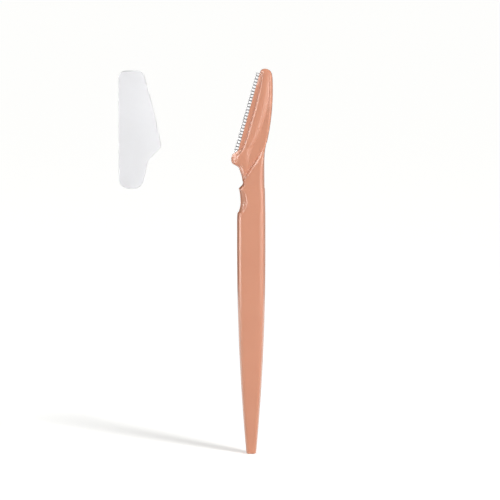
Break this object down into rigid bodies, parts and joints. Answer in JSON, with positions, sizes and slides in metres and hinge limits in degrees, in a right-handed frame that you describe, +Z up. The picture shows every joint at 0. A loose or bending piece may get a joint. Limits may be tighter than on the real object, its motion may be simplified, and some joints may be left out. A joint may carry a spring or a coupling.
{
  "type": "eyebrow razor",
  "caption": "Coral plastic eyebrow razor with a steel comb guard over its blade and its clear cap taken off",
  "frame": {"origin": "centre of the grip at its widest section", "axes": "+Z up along the handle from the tip to the head, +X towards the spine and away from the blade, +Y from the front to the back"},
  "size_m": [0.0613, 0.0069, 0.1549],
  "materials": {
    "coral": "satin moulded plastic",
    "blade_steel": "ground stainless strip",
    "guard_foil": "bright etched foil",
    "frosted": "translucent frosted polypropylene"
  },
  "bodies": {
    "razor": {"handle": "coral", "blade": "blade_steel", "guard": "guard_foil", "rear_plate": "coral"},
    "cap_body": {"cap": "frosted"}
  },
  "joints": [
    {"name": "cap_arc", "type": "hinge", "parent": "razor", "child": "cap_body", "pos_m": [-0.00275, 0, -0.12268], "axis": [0, 1, 0], "range_deg": [0, 15.6]}
  ]
}
